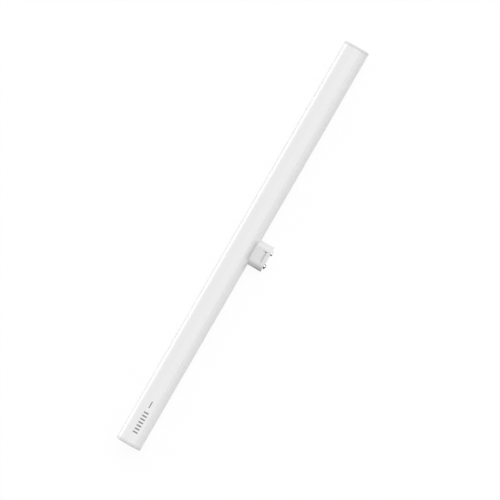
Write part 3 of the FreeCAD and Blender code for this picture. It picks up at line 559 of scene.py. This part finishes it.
def winding_finish():
    """Yellow tape wrapped round a winding, its layers showing at the edge."""
    finish = new_finish("yellow_tape")
    layers = (finish.towards(OUT) * LAYER_RATE).sine() * 0.5 + 0.5
    colour = finish.mix(layers, (0.66, 0.46, 0.07), (0.78, 0.57, 0.11))
    return finish.surface({"IOR": 1.5}, colour=colour, roughness=0.24 + 0.12 * finish.noise(size=1.5),
                          normal=finish.bump(layers, depth=0.01))


def chip_part_finish():
    """Dark glaze of the chip parts, whose tinned ends are a piece of their own."""
    finish = new_finish("chip_parts")
    glaze = finish.noise(size=0.3)
    colour = finish.mix(glaze, (0.03, 0.03, 0.03), (0.055, 0.052, 0.05))
    return finish.surface({"IOR": 1.6}, colour=colour, roughness=0.25 + 0.1 * glaze,
                          normal=finish.bump(glaze, depth=0.004))


def led_finish():
    """White package, whose phosphor is a piece of its own."""
    finish = new_finish("led_package")
    grain = finish.noise(size=0.15, detail=1.0)
    return finish.surface({"IOR": 1.5}, colour=finish.mix(grain, 0.80, 0.86), roughness=0.38 + 0.08 * grain,
                          normal=finish.bump(grain, depth=0.004))


def phosphor_finish():
    """Silicone filled with yellow phosphor grains."""
    finish = new_finish("phosphor")
    grains = finish.cells(size=0.08)
    colour = finish.mix(grains, (0.86, 0.62, 0.09), (0.74, 0.50, 0.05))
    return finish.surface({"IOR": 1.45}, colour=colour, roughness=0.2 + 0.15 * grains,
                          normal=finish.bump(grains, depth=0.008))


def wire_finish(name, colour):
    """Extruded insulation with fine draw lines."""
    finish = new_finish(name)
    lines = finish.noise(size=0.3, stretch=12.0)
    tint = finish.mix(lines, shaded(colour, 0.9), shaded(colour, 1.08))
    return finish.surface({"IOR": 1.5}, colour=tint, roughness=0.36 + 0.1 * lines,
                          normal=finish.bump(lines, depth=0.006))


# By slot of the record, apart from the last two, which the added pieces have
FINISHES = {
    "diffuser": diffuser_finish(),
    "shell": shell_finish(),
    "cap": cap_finish(),
    "peg": peg_finish(),
    "contact": contact_finish(),
    "tag": tag_finish(),
    "carrier": carrier_finish(),
    "film": film_finish(),
    "driver_board": driver_board_finish(),
    "fuse": fuse_finish(),
    "varistor": varistor_finish(),
    "film_capacitor": film_capacitor_finish(),
    "semiconductor": semiconductor_finish(),
    "electrolytic": electrolytic_finish(),
    "choke": choke_finish(),
    "ferrite": ferrite_finish(),
    "winding": winding_finish(),
    "chip_parts": chip_part_finish(),
    "tray": tray_finish(),
    "tape": tape_finish(),
    "led_board": led_board_finish(),
    "led": led_finish(),
    "screw": screw_finish(),
    "live_wire": wire_finish("brown_wire", (0.20, 0.065, 0.025)),
    "neutral_wire": wire_finish("blue_wire", (0.03, 0.12, 0.42)),
    "plus_wire": wire_finish("red_wire", (0.48, 0.025, 0.02)),
    "minus_wire": wire_finish("black_wire", (0.022, 0.022, 0.024)),
    "phosphor": phosphor_finish(),
    "solder": solder_finish(),
}


def dress_nodes():
    """Gives every solid of the frame the finish of its slot."""
    for part in frame["record"]["subparts"]:
        mesh = frame["nodes"][part["node"]].data
        mesh.materials.clear()
        mesh.materials.append(FINISHES[part["material_slot"]])


# Small things that the solids leave out. Sizes are in millimetres. A profile's points are shares of its
# radius and its height, from the base up
WINDOW_DEPTH = 0.15                # of the round window in an LED package
FILL_RADIUS = 1.08
FILL_PROFILE = [(0.0, 0.0), (1.0, 0.0), (1.0, 0.93), (0.85, 0.8), (0.5, 0.72), (0.0, 0.7)]
FILL_POINTS = 24
MOUND_PROFILE = [(0.0, 0.0), (1.0, 0.0), (0.92, 0.2), (0.74, 0.5), (0.6, 0.8), (0.4, 0.96), (0.0, 1.0)]
CONE_PROFILE = [(0.0, 0.0), (1.0, 0.0), (0.66, 0.22), (0.45, 0.55), (0.36, 0.9), (0.2, 1.0), (0.0, 1.0)]
BULB_PROFILE = [(0.0, 0.0), (0.5, 0.06), (0.86, 0.22), (1.0, 0.45), (0.94, 0.72), (0.7, 0.92), (0.0, 1.0)]
SOLDER_POINTS = 20
MOUND_RADIUS = 0.64                # over the end of an LED lead
MOUND_HEIGHT = 1.3
CONE_RADIUS = 1.15                 # round a mains lead's core, on top of the driver board
CONE_TIP = 0.1                     # above the core's end
BULB_RADIUS = 0.85                 # round a mains lead's end, against the solder tag
BULB_HEIGHT = 2.6
BULB_DROP = 0.7                    # below the lead's end
CHIP_END = 0.5                     # length of a chip part's tinned end
CHIP_END_STAND = 0.02              # how far it stands proud of the chip
WELD = 0.01                        # points closer than this are one
BLOCK_FACES = ((0, 1, 3, 2), (4, 6, 7, 5), (0, 4, 5, 1), (2, 3, 7, 6), (0, 2, 6, 4), (1, 5, 7, 3))


def level_of(node, direction):
    """The furthest that a node reaches from the tube's axis in a direction, in millimetres."""
    return max((vertex.co - AXIS).dot(direction) for vertex in frame["nodes"][node].data.vertices) / MM


def end_of(node, direction):
    """Middle of a node's end in a direction: millimetres along the tube, across it and towards the LEDs."""
    points = [vertex.co for vertex in frame["nodes"][node].data.vertices]
    furthest = max(point.dot(direction) for point in points)
    ends = [point for point in points if point.dot(direction) > furthest - WELD * MM]
    middle = sum(ends, Vector()) / len(ends) - AXIS
    return middle.dot(ALONG) / MM, middle.dot(FACE) / MM, middle.dot(FACING) / MM


def spot(along, across, level):
    """Place from millimetres along the tube, across it and towards the LEDs."""
    return AXIS + MM * (along * ALONG + across * FACE + level * FACING)


def separate_parts(node):
    """Lowest and highest corner (along, across, towards the LEDs) of each separate solid, in millimetres."""
    mesh = bmesh.new()
    mesh.from_mesh(frame["nodes"][node].data)
    bmesh.ops.remove_doubles(mesh, verts=mesh.verts, dist=WELD * MM)
    seen = set()
    boxes = []
    for first in mesh.verts:
        if first in seen:
            continue
        seen.add(first)
        group = [first]
        for vertex in group:           # which grows while it is walked
            for edge in vertex.link_edges:
                other = edge.other_vert(vertex)
                if other not in seen:
                    seen.add(other)
                    group.append(other)
        offsets = [vertex.co - AXIS for vertex in group]
        places = [[offset.dot(way) / MM for offset in offsets] for way in (ALONG, FACE, FACING)]
        boxes.append(([min(row) for row in places], [max(row) for row in places]))
    mesh.free()
    return boxes


def add_turned(mesh, base, profile, radius, height, points):
    """Adds a turned solid that stands on its base towards the LEDs."""
    rings = []
    for share, rise in profile:
        middle = base + MM * height * rise * FACING
        angles = [2 * math.pi * turn / points for turn in range(points if share else 1)]
        spokes = [math.cos(angle) * ALONG + math.sin(angle) * FACE for angle in angles]
        rings.append([mesh.verts.new(middle + MM * radius * share * spoke) for spoke in spokes])
    for lower, upper in zip(rings, rings[1:]):
        for turn in range(points):
            corners = [lower[turn % len(lower)], lower[(turn + 1) % len(lower)],
                       upper[(turn + 1) % len(upper)], upper[turn % len(upper)]]
            mesh.faces.new(list(dict.fromkeys(corners)))


def add_block(mesh, low, high):
    """Adds a block between two corners (along, across, towards the LEDs)."""
    corners = [mesh.verts.new(spot(along, across, level))
               for along in (low[0], high[0]) for across in (low[1], high[1]) for level in (low[2], high[2])]
    for face in BLOCK_FACES:
        mesh.faces.new([corners[index] for index in face])


def add_piece(name, mesh, finish, smooth=True):
    """Makes a piece of the lamp from a mesh that is ready."""
    bmesh.ops.recalc_face_normals(mesh, faces=mesh.faces)
    for face in mesh.faces:
        face.smooth = smooth
    data = bpy.data.meshes.new(name)
    mesh.to_mesh(data)
    mesh.free()
    data.materials.append(FINISHES[finish])
    piece = bpy.data.objects.new(name, data)
    bpy.context.scene.collection.objects.link(piece)
    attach(piece, "root")


def add_phosphor():
    """Phosphor in the window of every LED package, a little hollow at its middle."""
    mesh = bmesh.new()
    for low, high in separate_parts("led_packages"):
        base = spot((low[0] + high[0]) / 2, (low[1] + high[1]) / 2, high[2] - WINDOW_DEPTH)
        add_turned(mesh, base, FILL_PROFILE, FILL_RADIUS, WINDOW_DEPTH, FILL_POINTS)
    add_piece("led_phosphor", mesh, "phosphor")


def add_solder():
    """Joints where the leads meet the boards and the solder tags."""
    board = level_of("driver_board", FACING)
    led_board = level_of("led_board", FACING)
    mesh = bmesh.new()
    for lead in ("live_lead", "neutral_lead"):
        along, across, level = end_of(lead, FACING)
        rise = level - board + CONE_TIP
        add_turned(mesh, spot(along, across, board), CONE_PROFILE, CONE_RADIUS, rise, SOLDER_POINTS)
        along, across, level = end_of(lead, OUT)
        base = spot(along, across, level - BULB_DROP)
        add_turned(mesh, base, BULB_PROFILE, BULB_RADIUS, BULB_HEIGHT, SOLDER_POINTS)
    for lead in ("led_lead_plus", "led_lead_minus"):
        for direction, level in ((-ALONG, board), (ALONG, led_board)):
            along, across, _ = end_of(lead, direction)
            base = spot(along, across, level)
            add_turned(mesh, base, MOUND_PROFILE, MOUND_RADIUS, MOUND_HEIGHT, SOLDER_POINTS)
    add_piece("solder_joints", mesh, "solder")


def add_chip_ends():
    """Tinned end of each chip part, wrapped a little proud of it."""
    mesh = bmesh.new()
    for low, high in separate_parts("chip_parts"):
        stand = CHIP_END_STAND
        for start, end in ((low[0] - stand, low[0] + CHIP_END), (high[0] - CHIP_END, high[0] + stand)):
            add_block(mesh, (start, low[1] - stand, low[2]), (end, high[1] + stand, high[2] + stand))
    add_piece("chip_ends", mesh, "solder", smooth=False)


# Camera, light and floor

def set_camera():
    """Square to the tube and the peg, turned so that the tube leans as it does in the photograph."""
    right = math.cos(ROLL) * ALONG + math.sin(ROLL) * OUT
    up = math.sin(ROLL) * ALONG - math.cos(ROLL) * OUT
    data = bpy.data.cameras.new("camera")
    data.sensor_width = SENSOR
    data.lens = LENS
    data.clip_start = CLIP_NEAR
    data.clip_end = CLIP_FAR
    camera = bpy.data.objects.new("camera", data)
    bpy.context.scene.collection.objects.link(camera)
    distance = FRAME_WIDTH * LENS / SENSOR
    aim = AXIS + AIM_RIGHT * right + AIM_UP * up
    turn = Matrix((right, up, FACE)).transposed().to_4x4()
    camera.matrix_world = Matrix.Translation(aim + distance * FACE) @ turn
    bpy.context.scene.camera = camera


def seen_directly(finish):
    """1 for what the camera sees, straight or in metal and glass."""
    path = finish.add("ShaderNodeLightPath")
    camera, glossy, transmission = (Value(finish, path.outputs[name]) for name in
                                    ("Is Camera Ray", "Is Glossy Ray", "Is Transmission Ray"))
    return camera.larger(glossy).larger(transmission)


def set_world():
    """Sky that is brightest at the tube's far end and dark at the near one, and plain white behind all."""
    world = bpy.data.worlds.new("studio")
    bpy.context.scene.world = world
    sky = Finish(world)
    seen = seen_directly(sky)
    along = sky.reach(sky.add("ShaderNodeTexCoord").outputs["Generated"], ALONG)
    level = (along * SKY_LEAN + SKY_LEVEL).larger(0.0).smaller(SKY_MOST)
    strength = seen + (1 - seen) * level
    light = sky.add("ShaderNodeBackground", {}, {"Color": rgba(1.0), "Strength": strength})
    sky.add("ShaderNodeOutputWorld", {}, {"Surface": light.outputs[0]})


def set_floor():
    """Large white floor that takes a faint shadow and bounces some of the light."""
    bpy.ops.mesh.primitive_plane_add(size=FLOOR_SIZE, location=(0, 0, 0))
    floor = bpy.context.object
    floor.name = "floor"
    finish = new_finish("floor")
    white = finish.add("ShaderNodeEmission", {}, {"Color": rgba(1.0), "Strength": 1.0}).outputs[0]
    look = finish.blend(FLOOR_WHITE_SHARE, finish.diffuse(1.0), white)
    whole = finish.blend(seen_directly(finish), finish.diffuse(FLOOR_BOUNCE), look)
    floor.data.materials.append(finish.output(whole))


def set_key():
    """Broad soft key from above the far end of the tube."""
    data = bpy.data.lights.new("key", "SUN")
    data.energy = math.pi * KEY_LEVEL
    data.angle = KEY_SPREAD
    key = bpy.data.objects.new("key", data)
    direction = FACE + KEY_LEAN_ALONG * ALONG + KEY_LEAN_OUT * OUT
    key.rotation_mode = "QUATERNION"
    key.rotation_quaternion = direction.to_track_quat("Z", "Y")
    bpy.context.scene.collection.objects.link(key)


def add_upright_lamp(name, level, distance, length, low, high):
    """Long low lamp beside the tube that shines at it, unseen by the camera. The peg's side is below 0."""
    data = bpy.data.lights.new(name, "AREA")
    data.shape = "RECTANGLE"
    data.size = length
    data.size_y = high - low
    data.energy = level * math.pi * length * (high - low)
    lamp = bpy.data.objects.new(name, data)
    lamp.location = (0, AXIS.y + distance, (low + high) / 2)
    lamp.rotation_euler = (math.copysign(math.radians(90), -distance), 0, 0)
    lamp.visible_camera = False
    bpy.context.scene.collection.objects.link(lamp)
    return lamp


def set_side_lamps():
    """Soft light from both sides, and a strip that only shows as the bright line along the tube's edge."""
    add_upright_lamp("side", SIDE_LEVEL, SIDE_DISTANCE, SIDE_LENGTH, SIDE_LOW, SIDE_HIGH)
    add_upright_lamp("peg_side", PEG_SIDE_LEVEL, -SIDE_DISTANCE, SIDE_LENGTH, SIDE_LOW, SIDE_HIGH)
    strip = add_upright_lamp("strip", STRIP_LEVEL, STRIP_DISTANCE, STRIP_LENGTH, STRIP_LOW, STRIP_HIGH)
    strip.visible_diffuse = False


def set_contact_card():
    """Black card bent into an angle, under the contacts and beyond them, for the metal to mirror."""
    near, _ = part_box("contact_pin_left")
    far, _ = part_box("contact_pin_right")
    upright = near.x - CARD_GAP
    rows = [(far.x, CARD_LIFT), (upright, CARD_LIFT), (upright, CARD_HEIGHT)]
    points = [(x, y, z) for x, z in rows for y in (near.y - CARD_OUTER, near.y + CARD_INNER)]
    mesh = bpy.data.meshes.new("black_card")
    mesh.from_pydata(points, [], [(0, 1, 3, 2), (2, 3, 5, 4)])
    finish = new_finish("black_card")
    mesh.materials.append(finish.output(finish.diffuse(CARD_GREY)))
    card = bpy.data.objects.new("black_card", mesh)
    card.visible_camera = False
    card.visible_diffuse = False
    card.visible_shadow = False
    bpy.context.scene.collection.objects.link(card)


set_camera()
dress_nodes()
add_phosphor()
add_solder()
add_chip_ends()
set_world()
set_floor()
set_key()
set_side_lamps()
set_contact_card()
bpy.context.scene.view_settings.view_transform = "Standard"
